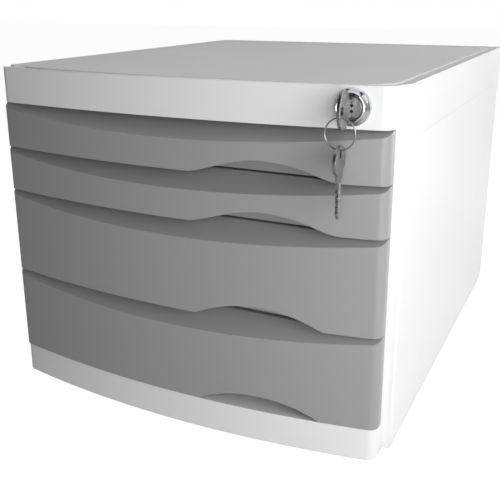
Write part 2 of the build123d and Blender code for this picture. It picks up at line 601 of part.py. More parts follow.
# guides that hold the bar against the right-hand post
GUIDE_ZS = (118.0, 207.0)
GUIDE_HALF = 2.5
with BuildPart() as lock_bar_guides:
    for z in GUIDE_ZS:
        low, high = z - GUIDE_HALF, z + GUIDE_HALF
        block(GUIDE_INNER_X, FRAME_HALF - WALL - GAP, POST_FRONT_Y + WALL + GAP, BAR_REAR_Y + 1.5,
              low, high)
        block(GUIDE_INNER_X, INNER_HALF - GAP, SHOULDER_Y + WALL + GAP, BAR_REAR_Y + 1.5, low, high)
    for z in GUIDE_ZS:
        low, high = z - GUIDE_HALF - 1, z + GUIDE_HALF + 1
        block(BAR_X - BAR_THICK / 2 - GUIDE_GAP, BAR_X + BAR_THICK / 2 + GUIDE_GAP,
              BAR_FRONT_Y - GUIDE_GAP, BAR_REAR_Y + GUIDE_GAP, low, high, mode=Mode.SUBTRACT)
        block(GUIDE_INNER_X - 0.4, BAR_X, BAR_FRONT_Y + 2, BAR_REAR_Y - 2, low, high, mode=Mode.SUBTRACT)
save(lock_bar_guides.part, "lock_bar_guides")


# ---------------------------------------------------------------- key
with BuildPart() as key_in_lock:
    bow_end_y = KEY_SEAT_Y - KEY_BOW_LENGTH
    bow_deep = KEY_BOW_LENGTH - KEY_NECK_LENGTH
    with BuildSketch(Plane.YZ.offset(LOCK_X - KEY_THICK / 2)):
        # oval bow, then the neck in front of the plug, then the blade
        with Locations((bow_end_y + bow_deep / 2, LOCK_Z)):
            Ellipse(bow_deep / 2, KEY_BOW / 2)
        with Locations((KEY_SEAT_Y - 1.4 * KEY_NECK_LENGTH, LOCK_Z)):
            Rectangle(2.8 * KEY_NECK_LENGTH, KEY_NECK_WIDTH)
        with Locations((KEY_SEAT_Y + KEY_BLADE_LENGTH / 2 - KEY_OVERLAP, LOCK_Z)):
            Rectangle(KEY_BLADE_LENGTH + 2 * KEY_OVERLAP, KEY_BLADE)
        with Locations((KEY_HOLE_Y, LOCK_Z - KEY_HOLE_DROP)):
            Circle(KEY_HOLE_R, mode=Mode.SUBTRACT)
    extrude(amount=KEY_THICK)
save(key_in_lock.part, "key_in_lock")
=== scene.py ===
"""Desktop file drawer: a white moulded casing with a bowed front, four gray drawers and a cam lock.

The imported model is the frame. The pieces that show are modelled again here with softer edges and
finer detail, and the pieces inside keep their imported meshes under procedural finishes.
"""

import logging
import math
from dataclasses import dataclass, field
from enum import Enum
from typing import Callable, Sequence

import bmesh
import bpy
from mathutils import Matrix, Vector


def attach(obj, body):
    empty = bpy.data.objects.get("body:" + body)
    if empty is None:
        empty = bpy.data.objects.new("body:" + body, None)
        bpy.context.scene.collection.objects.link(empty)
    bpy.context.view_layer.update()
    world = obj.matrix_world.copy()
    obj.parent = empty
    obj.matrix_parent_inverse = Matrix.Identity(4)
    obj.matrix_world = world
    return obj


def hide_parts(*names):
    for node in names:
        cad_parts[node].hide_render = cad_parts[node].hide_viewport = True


log = logging.getLogger("file_drawer")

MM = 0.001
MERGE_MM = 0.002
SMOOTH_DEGREES = 32.0
SEGMENT_DEGREES = 40.0
Point = tuple[float, float, float]
Flat = tuple[float, float]

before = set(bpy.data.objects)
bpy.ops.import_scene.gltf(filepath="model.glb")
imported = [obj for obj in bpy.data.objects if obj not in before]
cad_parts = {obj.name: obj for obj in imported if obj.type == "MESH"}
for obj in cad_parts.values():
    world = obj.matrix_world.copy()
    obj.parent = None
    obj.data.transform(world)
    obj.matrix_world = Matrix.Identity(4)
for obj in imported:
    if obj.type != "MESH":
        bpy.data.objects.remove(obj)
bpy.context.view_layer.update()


class Slot(Enum):
    """Material slots of the record."""

    WHITE = "white_plastic"
    GRAY = "gray_plastic"
    TRAY = "tray_plastic"
    CHROME = "chrome"
    NICKEL = "key_nickel"
    STEEL = "steel"
    RUBBER = "rubber"


# ------------------------------------------------------------------ hand tools


def deselect() -> None:
    """Leaves edit mode and clears the selection."""
    if bpy.context.object and bpy.context.object.mode != "OBJECT":
        bpy.ops.object.mode_set(mode="OBJECT")
    bpy.ops.object.select_all(action="DESELECT")


def pick(piece: bpy.types.Object) -> None:
    """Makes a piece the only selected one and the active one.

    Args:
        piece: the object to work on.
    """
    deselect()
    piece.select_set(True)
    bpy.context.view_layer.objects.active = piece


def edit(piece: bpy.types.Object) -> None:
    """Opens a piece in edit mode with everything selected.

    Args:
        piece: the object to edit.
    """
    pick(piece)
    bpy.ops.object.mode_set(mode="EDIT")
    bpy.ops.mesh.select_mode(type="VERT")
    bpy.ops.mesh.select_all(action="SELECT")


def select_faces(piece: bpy.types.Object, wanted: Callable[[bmesh.types.BMFace], bool]) -> None:
    """Selects faces by their place or normal, in edit mode.

    Args:
        piece: the object in edit mode.
        wanted: says of a face whether it is selected.
    """
    bpy.ops.mesh.select_mode(type="FACE")
    bpy.ops.mesh.select_all(action="DESELECT")
    mesh = bmesh.from_edit_mesh(piece.data)
    for face in mesh.faces:
        if wanted(face):
            face.select_set(True)
    bmesh.update_edit_mesh(piece.data)


def faces_down_at(face: bmesh.types.BMFace, height: float) -> bool:
    """Says whether a face looks down and lies at one height.

    Args:
        face: the face.
        height: in metres.

    Returns:
        True for a face of the underside.
    """
    return face.normal.z < -0.9 and abs(face.calc_center_median().z - height) < 1e-5


def select_edges(piece: bpy.types.Object, wanted: Callable[[bmesh.types.BMEdge], bool]) -> None:
    """Selects edges by their place, in edit mode.

    Args:
        piece: the object in edit mode.
        wanted: says of an edge whether it is selected.
    """
    bpy.ops.mesh.select_mode(type="EDGE")
    bpy.ops.mesh.select_all(action="DESELECT")
    mesh = bmesh.from_edit_mesh(piece.data)
    for edge in mesh.edges:
        if wanted(edge):
            edge.select_set(True)
    bmesh.update_edit_mesh(piece.data)


def trace(name: str, points: Sequence[Point]) -> bpy.types.Object:
    """Draws a closed outline by extruding a vertex from point to point, and fills it.

    Args:
        name: the new object's name.
        points: the outline's corners, in millimetres.

    Returns:
        A flat face, still in edit mode and selected.
    """
    deselect()
    bpy.ops.mesh.primitive_plane_add(size=MM, location=[value * MM for value in points[0]])
    piece = bpy.context.object
    piece.name = name
    edit(piece)
    bpy.ops.mesh.merge(type="CENTER")
    for here, there in zip(points, points[1:]):
        step = [(b - a) * MM for a, b in zip(here, there)]
        bpy.ops.mesh.extrude_vertices_move(TRANSFORM_OT_translate={"value": step})
    bpy.ops.mesh.select_all(action="SELECT")
    bpy.ops.mesh.edge_face_add()
    return piece


def push(step: Point) -> None:
    """Extrudes the selected faces.

    Args:
        step: how far and which way, in millimetres.
    """
    bpy.ops.mesh.extrude_region_move(TRANSFORM_OT_translate={"value": [value * MM for value in step]})


def settle(piece: bpy.types.Object) -> bpy.types.Object:
    """Leaves edit mode with doubles merged, normals outwards and the place in the mesh.

    Args:
        piece: the object being edited.

    Returns:
        The same object.
    """
    edit(piece)
    bpy.ops.mesh.remove_doubles(threshold=MERGE_MM * MM)
    bpy.ops.mesh.select_all(action="SELECT")
    bpy.ops.mesh.normals_make_consistent(inside=False)
    bpy.ops.object.mode_set(mode="OBJECT")
    bpy.ops.object.transform_apply(location=True, rotation=True, scale=True)
    return piece


def prism(name: str, points: Sequence[Point], step: Point) -> bpy.types.Object:
    """Traces an outline and extrudes it into a solid.

    Args:
        name: the new object's name.
        points: the outline, in millimetres.
        step: the extrusion, in millimetres.

    Returns:
        The solid.
    """
    piece = trace(name, points)
    push(step)
    return settle(piece)


def slab(name: str, low: Point, high: Point) -> bpy.types.Object:
    """Makes a block between two corners, as the start of a rib or a cut.

    Args:
        name: the new object's name.
        low: lowest corner, in millimetres.
        high: highest corner, in millimetres.

    Returns:
        The block.
    """
    (left, front, bottom), (right, rear, top) = low, high
    corners = [(left, front, bottom), (right, front, bottom), (right, rear, bottom), (left, rear, bottom)]
    return prism(name, corners, (0, 0, top - bottom))


def rod(name: str, centre: Point, radius: float, step: Point, sides: int = 48) -> bpy.types.Object:
    """Makes a round bar from a circle.

    Args:
        name: the new object's name.
        centre: middle of one end, in millimetres.
        radius: in millimetres.
        step: from that end to the other, along Y or Z.
        sides: facets round it.

    Returns:
        The bar.
    """
    turned = (math.pi / 2, 0, 0) if step[1] else (0, 0, 0)
    deselect()
    place = [value * MM for value in centre]
    bpy.ops.mesh.primitive_circle_add(
        vertices=sides, radius=radius * MM, fill_type="NGON", location=place, rotation=turned
    )
    piece = bpy.context.object
    piece.name = name
    bpy.ops.object.transform_apply(location=True, rotation=True, scale=True)
    edit(piece)
    push(step)
    return settle(piece)


def spun(name: str, profile: Sequence[Flat], centre: Point, sides: int = 72) -> bpy.types.Object:
    """Spins a closed half profile round an axis along Y.

    Args:
        name: the new object's name.
        profile: closed outline as radius and depth in Y, in millimetres.
        centre: a point on the axis; its Y isn't used.
        sides: steps round the axis.

    Returns:
        The turned solid.
    """
    piece = trace(name, [(centre[0] + radius, depth, centre[2]) for radius, depth in profile])
    hub = [centre[0] * MM, 0, centre[2] * MM]
    bpy.ops.mesh.spin(steps=sides, angle=2 * math.pi, center=hub, axis=(0, 1, 0), use_auto_merge=True)
    # the outline's own face is left inside the turned solid
    select_faces(piece, lambda face: len(face.verts) > 4)
    if any(face.select for face in bmesh.from_edit_mesh(piece.data).faces):
        bpy.ops.mesh.delete(type="ONLY_FACE")
    return settle(piece)


def combine(
    target: bpy.types.Object, tool: bpy.types.Object, operation: str = "DIFFERENCE"
) -> bpy.types.Object:
    """Cuts one solid with another, or adds it, and throws the tool away.

    Args:
        target: the piece that stays.
        tool: the solid that cuts or is added.
        operation: DIFFERENCE, UNION or INTERSECT.

    Returns:
        The target.
    """
    pick(target)
    modifier = target.modifiers.new("combine", "BOOLEAN")
    modifier.operation = operation
    modifier.solver = "EXACT"
    modifier.object = tool
    bpy.ops.object.modifier_apply(modifier=modifier.name)
    bpy.data.objects.remove(tool, do_unlink=True)
    return target


def join(target: bpy.types.Object, others: Sequence[bpy.types.Object]) -> bpy.types.Object:
    """Joins solids into one piece.

    Args:
        target: the piece that stays.
        others: the pieces that go into it.

    Returns:
        The target.
    """
    pick(target)
    for other in others:
        other.select_set(True)
    bpy.ops.object.join()
    return target


def soften(piece: bpy.types.Object, radius: float, steps: int = 3, angle: float = 30.0) -> bpy.types.Object:
    """Rounds a piece's edges and shades it smooth.

    Args:
        piece: the object to finish.
        radius: edge radius in millimetres; 0 only shades.
        steps: bevel segments.
        angle: edges sharper than this, in degrees, are rounded.

    Returns:
        The same object.
    """
    settle(piece)
    if radius > 0:
        bevel = piece.modifiers.new("edge", "BEVEL")
        bevel.width = radius * MM
        bevel.segments = steps
        bevel.limit_method = "ANGLE"
        bevel.angle_limit = math.radians(angle)
        bevel.use_clamp_overlap = True
        bpy.ops.object.modifier_apply(modifier=bevel.name)
    bpy.ops.object.shade_smooth_by_angle(angle=math.radians(SMOOTH_DEGREES))
    if radius > 0:
        weighted = piece.modifiers.new("even", "WEIGHTED_NORMAL")
        weighted.keep_sharp = True
        bpy.ops.object.modifier_apply(modifier=weighted.name)
    return piece


# ------------------------------------------------------------------ finishes


def linear(hex_colour: str) -> tuple[float, float, float, float]:
    """Turns an sRGB hex colour to linear.

    Args:
        hex_colour: such as "#EDEDED".

    Returns:
        Linear red, green, blue and an alpha of 1.
    """
    values = [int(hex_colour[i : i + 2], 16) / 255 for i in (1, 3, 5)]
    straight = [v / 12.92 if v <= 0.04045 else ((v + 0.055) / 1.055) ** 2.4 for v in values]
    return (straight[0], straight[1], straight[2], 1.0)


def add_node(
    tree: bpy.types.NodeTree, kind: str, sockets: dict | None = None, **settings: object
) -> bpy.types.Node:
    """Adds a shader node with its settings and links.

    Args:
        tree: the node tree.
        kind: the node's type name.
        sockets: input name or index to a value, or to the output that feeds it.
        **settings: properties of the node.

    Returns:
        The new node.
    """
    node = tree.nodes.new(kind)
    for name, value in settings.items():
        setattr(node, name, value)
    for key, value in (sockets or {}).items():
        if isinstance(value, bpy.types.NodeSocket):
            tree.links.new(value, node.inputs[key])
        else:
            node.inputs[key].default_value = value
    return node


@dataclass(frozen=True)
class Finish:
    """A procedural material with a fine surface grain and a slow change of tone and gloss.

    The tone swings between two near colours over tens of millimetres, as moulded and plated
    surfaces do, and the grain is a bump of a stated pitch and height.
    """

    name: str
    tone: str
    tone_far: str
    roughness: float
    roughness_far: float
    tone_mm: float
    grain_mm: float
    grain_height_mm: float
    metallic: float = 0.0
    ior: float | None = None
    stretch: tuple[float, float, float] = (1.0, 1.0, 1.0)

    def build(self) -> bpy.types.Material:
        """Builds the material's node tree.

        Returns:
            The new material.
        """
        material = bpy.data.materials.new(self.name)
        material.use_nodes = True
        tree = material.node_tree
        tree.nodes.clear()
        place = add_node(tree, "ShaderNodeTexCoord").outputs["Object"]
        drawing = {"Vector": place, "Scale": self.stretch}
        drawn = add_node(tree, "ShaderNodeMapping", drawing).outputs["Vector"]
        waves = {"Vector": drawn, "Scale": 1000 / self.tone_mm, "Detail": 3.0, "Roughness": 0.5}
        slow = add_node(tree, "ShaderNodeTexNoise", waves).outputs["Fac"]
        grains = {"Vector": drawn, "Scale": 1000 / self.grain_mm, "Detail": 2.0, "Roughness": 0.6}
        fine = add_node(tree, "ShaderNodeTexNoise", grains).outputs["Fac"]
        tone = add_node(
            tree, "ShaderNodeMix", {0: slow, 6: linear(self.tone), 7: linear(self.tone_far)}, data_type="RGBA"
        ).outputs[2]
        sheen = {"To Min": self.roughness, "To Max": self.roughness_far}
        swing = {"Value": slow, "From Min": 0.3, "From Max": 0.7}
        gloss = add_node(tree, "ShaderNodeMapRange", swing | sheen).outputs["Result"]
        bump = add_node(
            tree, "ShaderNodeBump", {"Height": fine, "Distance": self.grain_height_mm * MM, "Strength": 1.0}
        ).outputs["Normal"]
        surface = {"Base Color": tone, "Roughness": gloss, "Normal": bump, "Metallic": self.metallic}
        shader = add_node(tree, "ShaderNodeBsdfPrincipled", surface)
        if self.ior is not None:
            shader.inputs["IOR"].default_value = self.ior
        add_node(tree, "ShaderNodeOutputMaterial", {"Surface": shader.outputs["BSDF"]})
        return material


FINISHES: dict[Slot, Finish] = {
    # Injection-moulded ABS from a polished tool: bright white, even, with a soft sheen.
    Slot.WHITE: Finish("moulded_white_abs", "#EEEEEE", "#EBEBEC", 0.32, 0.38, 90.0, 1.6, 0.006, ior=1.54),
    # The same plastic in mid gray, from a fine spark-eroded tool: satin, with a sheen at grazing angles.
    Slot.GRAY: Finish("moulded_gray_abs", "#9E9E9E", "#9A9A9A", 0.30, 0.36, 70.0, 1.4, 0.008, ior=1.54),
    # High-impact polystyrene trays, less glossy than the fronts.
    Slot.TRAY: Finish(
        "moulded_gray_polystyrene", "#8E8E8E", "#888888", 0.44, 0.52, 60.0, 1.2, 0.012, ior=1.59
    ),
    # Decorative chrome plate on a die casting: mirror-like with faint waviness.
    Slot.CHROME: Finish("chrome_plate", "#D2D3D6", "#C2C4C8", 0.08, 0.14, 5.0, 4.0, 0.01, metallic=1.0),
    # Nickel-plated stamped brass: bright but softly scattered by tumbling.
    Slot.NICKEL: Finish("nickel_plate", "#A6A6A6", "#707070", 0.24, 0.38, 2.0, 0.7, 0.025, metallic=1.0),
    # Zinc-plated sheet steel, drawn lengthwise.
    Slot.STEEL: Finish(
        "zinc_plated_steel", "#B4B6B8", "#9FA2A6", 0.30, 0.42, 14.0, 0.8, 0.01,
        metallic=1.0, stretch=(4.0, 1.0, 1.0),
    ),
    # Compression-moulded rubber: near black and matt.
    Slot.RUBBER: Finish("moulded_rubber", "#2A2A2A", "#222222", 0.75, 0.85, 8.0, 0.7, 0.03, ior=1.52),
}


class Wardrobe:
    """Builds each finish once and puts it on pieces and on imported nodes."""

    def __init__(self) -> None:
        """Builds all finishes."""
        self.materials = {slot: finish.build() for slot, finish in FINISHES.items()}

    def dress(self, piece: bpy.types.Object, slot: Slot) -> None:
        """Gives a new piece its finish.

        Args:
            piece: the object to dress.
            slot: the record's slot that it takes its finish from.
        """
        piece.data.materials.clear()
        piece.data.materials.append(self.materials[slot])

    def dress_node(self, node: str, slot: Slot) -> None:
        """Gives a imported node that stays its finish.

        Args:
            node: the node's name.
            slot: the finish.
        """
        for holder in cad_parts[node].material_slots:
            holder.material = self.materials[slot]
        log.info("packed node %s: %s", node, slot.value)

    def deliver(
        self, piece: bpy.types.Object, slot: Slot, body: str, nodes: Sequence[str] = ()
    ) -> bpy.types.Object:
        """Dresses a finished piece, puts it on its body and hides what it stands for.

        Args:
            piece: the finished object.
            slot: its finish.
            body: the body that it rides on.
            nodes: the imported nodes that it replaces.

        Returns:
            The same object.
        """
        self.dress(piece, slot)
        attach(piece, body)
        if nodes:
            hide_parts(*nodes)
        log.info("piece %s on %s: %d faces", piece.name, body, len(piece.data.polygons))
        return piece


# ------------------------------------------------------------------ shared shapes


@dataclass(frozen=True)
class BowPlan:
    """Plan of the bowed front, in millimetres: an arc in front, rounded ends, straight sides."""

    half: float
    sag: float
    end_y: float
    rear_y: float
    corner: float
    gauge_half: float = 140.0
    steps: int = 56
    corner_steps: int = 8

    def outline(self, z: float, inset: float = 0.0) -> list[Point]:
        """Gives the closed outline at one height.

        Args:
            z: the height.
            inset: how far inside the outer line.

        Returns:
            The outline's points, from the left side round the front to the right.
        """
        radius = (self.gauge_half**2 + self.sag**2) / (2 * self.sag)
        centre_y = self.end_y - self.sag + radius
        reach = radius - inset
        side = self.half - inset
        corner = max(self.corner - inset, 0.8)
        corner_x = side - corner
        corner_y = centre_y - math.sqrt((reach - corner) ** 2 - corner_x**2)
        lean = math.atan2(corner_x, centre_y - corner_y)
        turns = [lean + (math.pi / 2 - lean) * i / self.corner_steps for i in range(self.corner_steps + 1)]
        right = [(corner_x + corner * math.sin(a), corner_y - corner * math.cos(a), z) for a in turns]
        left = [(-x, y, z) for x, y, _ in reversed(right)]
        sweep = [-lean + 2 * lean * i / self.steps for i in range(1, self.steps)]
        middle = [(reach * math.sin(a), centre_y - reach * math.cos(a), z) for a in sweep]
        rear = self.rear_y - inset
        return left + middle + right + [(side, rear, z), (-side, rear, z)]


def hermite(knots: Sequence[tuple[float, float, float]], steps: int = 10) -> list[Flat]:
    """Draws a smooth line through knots.

    Args:
        knots: place, height and slope of each knot.
        steps: points on each stretch.

    Returns:
        Points along the line.
    """
    points: list[Flat] = [(knots[0][0], knots[0][1])]
    for (x0, z0, m0), (x1, z1, m1) in zip(knots, knots[1:]):
        run = x1 - x0
        for i in range(1, steps + 1):
            t = i / steps
            rise = (
                (2 * t**3 - 3 * t**2 + 1) * z0
                + (t**3 - 2 * t**2 + t) * run * m0
                + (-2 * t**3 + 3 * t**2) * z1
                + (t**3 - t**2) * run * m1
            )
            points.append((x0 + run * t, rise))
    return points


# ------------------------------------------------------------------ drawers


class Arch(Enum):
    """Finger arches: place, height and slope of the knots that the cut edge runs through."""

    WAVE = ((20.0, 0.0, 0.25), (41.0, 5.9, 0.29), (66.0, 10.4, 0.0), (94.0, 6.6, -0.27), (118.0, 0.0, 0.0))
    ROUND = (
        (22.0, 0.0, 0.51), (43.0, 7.95, 0.24), (65.0, 10.4, 0.0), (87.0, 7.95, -0.24), (108.0, 0.0, -0.51),
    )


@dataclass
class Drawer:
    """One drawer: a hollow moulded front with a facet and a finger arch, and a tray behind it."""

    number: int
    bottom: float
    pitch: float
    gap: float = 0.7
    wall: float = 2.5
    facet_y: float = -159.2
    facet_slope: float = 0.63
    edge_radius: float = 0.7
    cut_front: float = -190.0
    cut_depth: float = 32.0
    cut_below: float = 3.0
    plan: BowPlan = field(default_factory=lambda: BowPlan(144.2, 13.1, -164.6, -154.2, 6.5))
    arch: Arch = Arch.WAVE

    @property
    def top(self) -> float:
        """Height of the front's upper edge."""
        return self.bottom + self.pitch - self.gap

    def shell(self) -> bpy.types.Object:
        """Models the front's outer form with its sloping facet and its hollow.

        Returns:
            The shell before the arch is cut.
        """
        piece = trace(f"drawer_{self.number}_front_shell", self.plan.outline(self.bottom))
        push((0, 0, self.top - self.bottom))
        bpy.ops.mesh.select_all(action="SELECT")
        bpy.ops.mesh.normals_make_consistent(inside=False)
        bpy.ops.mesh.bisect(
            plane_co=(0, self.facet_y * MM, self.top * MM),
            plane_no=(0, -self.facet_slope, 1.0),
            use_fill=True,
            clear_outer=True,
        )
        settle(piece)
        edit(piece)
        low = self.bottom * MM
        select_faces(piece, lambda face: faces_down_at(face, low))
        bpy.ops.mesh.inset(thickness=self.wall * MM, depth=0)
        facet_drop = (self.facet_y - (self.plan.end_y - self.plan.sag)) * self.facet_slope
        push((0, 0, self.top - self.bottom - facet_drop - 2 * self.wall))
        return settle(piece)

    def arch_cutter(self) -> bpy.types.Object:
        """Models the wave-shaped solid that opens the front's lower edge.

        Returns:
            The cutter.
        """
        line = [(x, self.bottom + z) for x, z in hermite(self.arch.value)]
        below = self.bottom - self.cut_below
        feet = [(line[-1][0], self.cut_front, below), (line[0][0], self.cut_front, below)]
        outline = [(x, self.cut_front, z) for x, z in line] + feet
        return prism("arch_cutter", outline, (0, self.cut_depth, 0))

    def build(self, wardrobe: Wardrobe) -> None:
        """Models the front, dresses it and finishes the tray.

        Args:
            wardrobe: the finishes.
        """
        body = f"drawer_{self.number}"
        front = combine(self.shell(), self.arch_cutter())
        soften(front, self.edge_radius)
        wardrobe.deliver(front, Slot.GRAY, body, [f"{body}_front"])
        Refined(f"{body}_tray", body, Slot.TRAY, 0.5).build(wardrobe)
        wardrobe.dress_node(f"{body}_screws", Slot.STEEL)


@dataclass
class Refined:
    """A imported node's shape, merged, with its edges rounded as a moulding's are."""

    node: str
    body: str
    slot: Slot
    edge_radius: float

    def build(self, wardrobe: Wardrobe) -> None:
        """Copies the node's mesh, merges it, rounds its edges and puts it in the node's place.

        Args:
            wardrobe: the finishes.
        """
        deselect()
        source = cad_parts[self.node]
        mesh = source.data.copy()
        piece = bpy.data.objects.new(f"{self.node}_moulding", mesh)
        bpy.context.scene.collection.objects.link(piece)
        piece.matrix_world = source.matrix_world
        edit(piece)
        bpy.ops.mesh.remove_doubles(threshold=MERGE_MM * MM)
        bpy.ops.mesh.select_all(action="SELECT")
        bpy.ops.mesh.dissolve_limited(angle_limit=math.radians(0.5))
        soften(piece, self.edge_radius, steps=2, angle=SEGMENT_DEGREES)
        wardrobe.deliver(piece, self.slot, self.body, [self.node])


# ------------------------------------------------------------------ casing


@dataclass
class Casing:
    """The white mouldings: top cover with bowed header, sides, back and base with plinth."""

    half: float = 150.0
    shoulder_y: float = -147.5
    rear_y: float = 190.0
    top: float = 240.8
    wall: float = 2.5
    header_bottom: float = 215.9
    skirt_bottom: float = 208.0
    border_land: float = 0.6
    border_run: float = 8.4
    border_depth: float = 1.3
    border_corner: float = 4.0
    border_round: float = 16.0
    field_drop: float = 0.5
    plinth_bottom: float = 1.5
    plinth_top: float = 23.7
    lock_x: float = 121.5
    lock_z: float = 228.5
    lock_hole_radius: float = 8.6
    border_gap: float = 0.9
    field_sink: float = 0.3
    outer_corner: float = 2.0
    plate_half: float = 147.4
    post_half: float = 143.8
    post_rear: float = -144.9
    foot_places: tuple[Flat, ...] = ((-120, -120), (-120, 160), (120, -120), (120, 160))
    foot_radius: float = 7.1
    foot_depth: float = 2.5
    screw_places: tuple[Flat, ...] = ((-144, -100), (-144, 150), (144, -100), (144, 150))
    screw_radius: float = 1.6
    sink_radius: float = 3.3
    sink_depth: float = 2.7
    rib_places: tuple[float, ...] = (-90, 0, 90)
    rib_front: float = -144.0
    rib_rear: float = 180.0
    rib_height: float = 8.0
    rib_half: float = 1.0
    header: BowPlan = field(default_factory=lambda: BowPlan(144.0, 9.7, -163.7, -145.0, 7.0))
    plinth: BowPlan = field(default_factory=lambda: BowPlan(143.9, 13.1, -163.7, -145.0, 7.0))

    def border_outline(self, inset: float, z: float) -> list[Point]:
        """Gives one level of the border round the top, bowed in front with rounded front corners.

        Args:
            inset: distance inside the edge.
            z: height of the level.

        Returns:
            The closed outline.
        """
        side = self.half - inset
        front = self.header.end_y - self.header.sag + inset
        corner = self.header.end_y + self.border_corner + inset
        sag = corner - front
        radius = (side**2 + sag**2) / (2 * sag)
        # the corner's radius grows inwards, from crisp at the edge to round at the field
        round_off = self.border_round * inset / (self.border_land + self.border_run)
        centre_x = side - round_off
        centre_y = front + radius - math.sqrt((radius - round_off) ** 2 - centre_x**2)
        lean = math.atan2(centre_x, front + radius - centre_y)
        bow_steps, corner_steps = 48, 8
        sweep = [-lean + 2 * lean * i / bow_steps for i in range(bow_steps + 1)]
        bow = [(radius * math.sin(a), front + radius - radius * math.cos(a), z) for a in sweep]
        turns = [lean + (math.pi / 2 - lean) * i / corner_steps for i in range(1, corner_steps + 1)]
        right = [(centre_x + round_off * math.sin(a), centre_y - round_off * math.cos(a), z) for a in turns]
        left = [(-x, y, z) for x, y, _ in reversed(right)]
        rear = self.rear_y - inset
        return left + bow + right + [(side, rear, z), (-side, rear, z)]

    def border_cutter(self) -> bpy.types.Object:
        """Models the solid whose sloping sides leave the dipped border.

        Returns:
            The cutter.
        """
        above = 2.0
        upper = self.border_outline(self.border_land, self.top + above)
        lower = self.border_outline(self.border_land + self.border_run, self.top)
        piece = trace("border_cutter", upper)
        push((0, 0, -above))
        push((0, 0, -self.border_depth))
        # the lowest ring moves in to the field's outline
        mesh = bmesh.from_edit_mesh(piece.data)
        for vert in [vert for vert in mesh.verts if vert.select]:
            place = (vert.co + piece.location) / MM
            gaps = [(x - place.x) ** 2 + (y - place.y) ** 2 for x, y, _ in upper]
            nearest = gaps.index(min(gaps))
            vert.co.x += (lower[nearest][0] - place.x) * MM
            vert.co.y += (lower[nearest][1] - place.y) * MM
        bmesh.update_edit_mesh(piece.data)
        return settle(piece)

    def top_cover(self) -> bpy.types.Object:
        """Models the top cover with its bowed header, hollow, border and lock seat.

        Returns:
            The cover before its edges are rounded.
        """
        low = (-self.half, self.shoulder_y, self.skirt_bottom)
        cover = slab("top_cover_shell", low, (self.half, self.rear_y, self.top))
        edit(cover)
        select_edges(cover, lambda edge: abs((edge.verts[0].co - edge.verts[1].co).z) > 0.01)
        bpy.ops.mesh.bevel(offset=self.outer_corner * MM, segments=5, affect="EDGES")
        settle(cover)
        header_rise = (0, 0, self.top - self.header_bottom)
        header = prism("header", self.header.outline(self.header_bottom), header_rise)
        combine(cover, header, "UNION")

        inner = self.half - self.wall
        ceiling = self.top - self.wall
        low = (-inner, self.shoulder_y + self.wall, self.skirt_bottom - 5)
        combine(cover, slab("hollow", low, (inner, self.rear_y - self.wall, ceiling)))
        hollow_plan = BowPlan(144.0, 9.7, -163.7, self.shoulder_y + 3 * self.wall, 7.0)
        below = self.header_bottom - 2
        combine(cover, prism("header_hollow", hollow_plan.outline(below, self.wall), (0, 0, ceiling - below)))
        low = (-self.header.half, self.shoulder_y - 2, self.skirt_bottom - 4)
        high = (self.header.half, self.shoulder_y + 2 * self.wall, self.header_bottom)
        combine(cover, slab("doorway", low, high))

        combine(cover, self.border_cutter())
        field_floor = self.top - self.wall + self.field_sink
        plate = self.border_outline(self.border_land + self.border_run + self.border_gap, field_floor)
        thick = self.wall - self.field_sink - self.field_drop
        combine(cover, prism("field", plate, (0, 0, thick)), "UNION")
        combine(cover, rod("lock_hole", (self.lock_x, -150, self.lock_z), self.lock_hole_radius, (0, -40, 0)))
        return cover

    def base(self) -> bpy.types.Object:
        """Models the base plate with its ribs and the bowed plinth.

        Returns:
            The base before its edges are rounded.
        """
        piece = trace("base_plinth_shell", self.plinth.outline(self.plinth_bottom))
        push((0, 0, self.plinth_top - self.plinth_bottom))
        settle(piece)
        edit(piece)
        low = self.plinth_bottom * MM
        select_faces(piece, lambda face: faces_down_at(face, low))
        bpy.ops.mesh.inset(thickness=self.wall * MM, depth=0)
        push((0, 0, self.plinth_top - self.plinth_bottom - self.wall))
        settle(piece)
        plate_top = self.plinth_bottom + self.wall
        low = (-self.plate_half, self.shoulder_y, self.plinth_bottom)
        plate = slab("plate", low, (self.plate_half, self.rear_y, plate_top))
        combine(plate, slab("notch_left", (-160, -160, 0), (-self.post_half, self.post_rear, 10)))
        combine(plate, slab("notch_right", (self.post_half, -160, 0), (160, self.post_rear, 10)))
        for x, y in self.foot_places:
            combine(plate, rod("foot_recess", (x, y, 0.0), self.foot_radius, (0, 0, self.foot_depth)))
        for x, y in self.screw_places:
            combine(plate, rod("screw_hole", (x, y, 0.0), self.screw_radius, (0, 0, 6.0), 24))
            combine(plate, rod("screw_sink", (x, y, 0.0), self.sink_radius, (0, 0, self.sink_depth), 32))
        ribs = []
        for x in self.rib_places:
            low = (x - self.rib_half, self.rib_front, plate_top - 0.3)
            ribs.append(slab("rib", low, (x + self.rib_half, self.rib_rear, plate_top + self.rib_height)))
        return join(piece, [plate, *ribs])

    def build(self, wardrobe: Wardrobe) -> None:
        """Models, finishes and places the casing's pieces.

        Args:
            wardrobe: the finishes.
        """
        wardrobe.deliver(soften(self.top_cover(), 0.45), Slot.WHITE, "casing", ["top_cover"])
        wardrobe.deliver(soften(self.base(), 0.6), Slot.WHITE, "casing", ["base_plinth"])
        for node in ("left_side_panel", "right_side_panel", "back_panel"):
            Refined(node, "casing", Slot.WHITE, 0.4).build(wardrobe)
        wardrobe.dress_node("rubber_feet", Slot.RUBBER)
        wardrobe.dress_node("casing_screws", Slot.STEEL)


# ------------------------------------------------------------------ lock and keys


